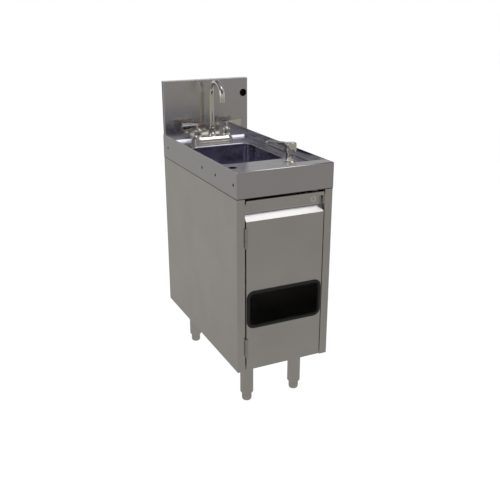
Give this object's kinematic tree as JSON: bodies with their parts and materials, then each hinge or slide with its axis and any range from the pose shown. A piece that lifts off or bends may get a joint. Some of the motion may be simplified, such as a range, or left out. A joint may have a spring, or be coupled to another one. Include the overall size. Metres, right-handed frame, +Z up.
{
  "type": "underbar sink",
  "caption": "Narrow stainless steel underbar hand sink: cabinet on round legs, waste door, sunk deck, bowl, splash, gooseneck faucet with wrist blades and a soap dispenser.",
  "frame": {"origin": "on the floor, under the middle of the overall width and depth", "axes": "+Z up, -Y towards the user in front of the door, +X to the right of a user who faces the door"},
  "size_m": [0.3048, 0.619, 0.9471],
  "materials": {
    "satin_steel": "satin",
    "bowl_steel": "satin",
    "bright_steel": "polished",
    "chrome": "polished",
    "brass": "plain",
    "black_rubber": "matte",
    "red_plastic": "gloss",
    "blue_plastic": "gloss",
    "white_plastic": "matte"
  },
  "bodies": {
    "frame": {"left_side_panel": "satin_steel", "right_side_panel": "satin_steel", "floor_panel": "satin_steel", "back_panel": "satin_steel", "rails": "satin_steel", "back_screws": "bright_steel", "deck_pan": "satin_steel", "deck_front": "satin_steel", "deck_rear": "satin_steel", "deck_sides": "satin_steel", "bowl": "bowl_steel", "splash_front": "satin_steel", "splash_back": "satin_steel", "splash_rivets": "satin_steel", "leg_plates": "satin_steel", "leg_tube_front_left": "satin_steel", "leg_tube_front_right": "satin_steel", "leg_tube_rear_left": "satin_steel", "leg_tube_rear_right": "satin_steel", "hinge_frame_leaves": "bright_steel", "hinge_pins": "bright_steel", "faucet_base": "chrome", "faucet_nuts": "brass", "spout_nut": "chrome", "hot_valve": "chrome", "cold_valve": "chrome", "soap_collar": "chrome", "soap_nut": "white_plastic", "soap_bottle": "white_plastic", "pump_cylinder": "white_plastic", "pump_spring": "bright_steel", "dip_tube": "white_plastic", "drain_body": "chrome", "drain_strainer": "bright_steel", "drain_gasket": "black_rubber", "drain_nut": "chrome", "tailpiece": "chrome", "tailpiece_nut": "chrome"},
    "door": {"door_skin": "satin_steel", "door_trim": "black_rubber", "hinge_door_leaves": "bright_steel", "lock_body": "chrome", "lock_nut": "bright_steel"},
    "lock": {"lock_plug": "brass", "lock_cam": "bright_steel"},
    "hot_lever": {"hot_handle": "chrome", "hot_stem": "brass", "hot_cap": "red_plastic"},
    "cold_lever": {"cold_handle": "chrome", "cold_stem": "brass", "cold_cap": "blue_plastic"},
    "spout": {"spout_tube": "chrome", "outlet_sleeve": "chrome"},
    "soap_pump": {"pump_rod": "white_plastic"},
    "soap_cap": {"soap_head": "chrome"},
    "foot_front_left": {"foot_front_left": "satin_steel"},
    "foot_front_right": {"foot_front_right": "satin_steel"},
    "foot_rear_left": {"foot_rear_left": "satin_steel"},
    "foot_rear_right": {"foot_rear_right": "satin_steel"}
  },
  "joints": [
    {"name": "door_swing", "type": "hinge", "parent": "frame", "child": "door", "pos_m": [-0.1255, -0.30495, 0.4024], "axis": [0, 0, -1], "range_deg": [0, 180]},
    {"name": "lock_turn", "type": "hinge", "parent": "door", "child": "lock", "pos_m": [0.097, -0.28155, 0.6548], "axis": [0, 1, 0], "range_deg": [0, 90]},
    {"name": "hot_lever_turn", "type": "hinge", "parent": "frame", "child": "hot_lever", "pos_m": [-0.0508, 0.24195, 0.7791], "axis": [0, 0, 1], "range_deg": [0, 90]},
    {"name": "cold_lever_turn", "type": "hinge", "parent": "frame", "child": "cold_lever", "pos_m": [0.0508, 0.24195, 0.7791], "axis": [0, 0, -1], "range_deg": [0, 90]},
    {"name": "spout_swivel", "type": "hinge", "parent": "frame", "child": "spout", "pos_m": [0, 0.24195, 0.7741], "axis": [0, 0, 1], "range_deg": [-90, 90]},
    {"name": "soap_press", "type": "slide", "parent": "frame", "child": "soap_pump", "axis": [0, 0, -1], "range_m": [0, 0.016], "stiffness_N_per_m": 400, "springref_m": -0.012, "deforming": ["pump_spring"]},
    {"name": "soap_cap_turn", "type": "hinge", "parent": "soap_pump", "child": "soap_cap", "pos_m": [0.0935, -0.14805, 0.7866], "axis": [0, 0, 1], "continuous": true},
    {"name": "foot_front_left_screw", "type": "slide", "parent": "frame", "child": "foot_front_left", "axis": [0, 0, -1], "range_m": [0, 0.025]},
    {"name": "foot_front_right_screw", "type": "slide", "parent": "frame", "child": "foot_front_right", "axis": [0, 0, -1], "range_m": [0, 0.025]},
    {"name": "foot_rear_left_screw", "type": "slide", "parent": "frame", "child": "foot_rear_left", "axis": [0, 0, -1], "range_m": [0, 0.025]},
    {"name": "foot_rear_right_screw", "type": "slide", "parent": "frame", "child": "foot_rear_right", "axis": [0, 0, -1], "range_m": [0, 0.025]}
  ]
}
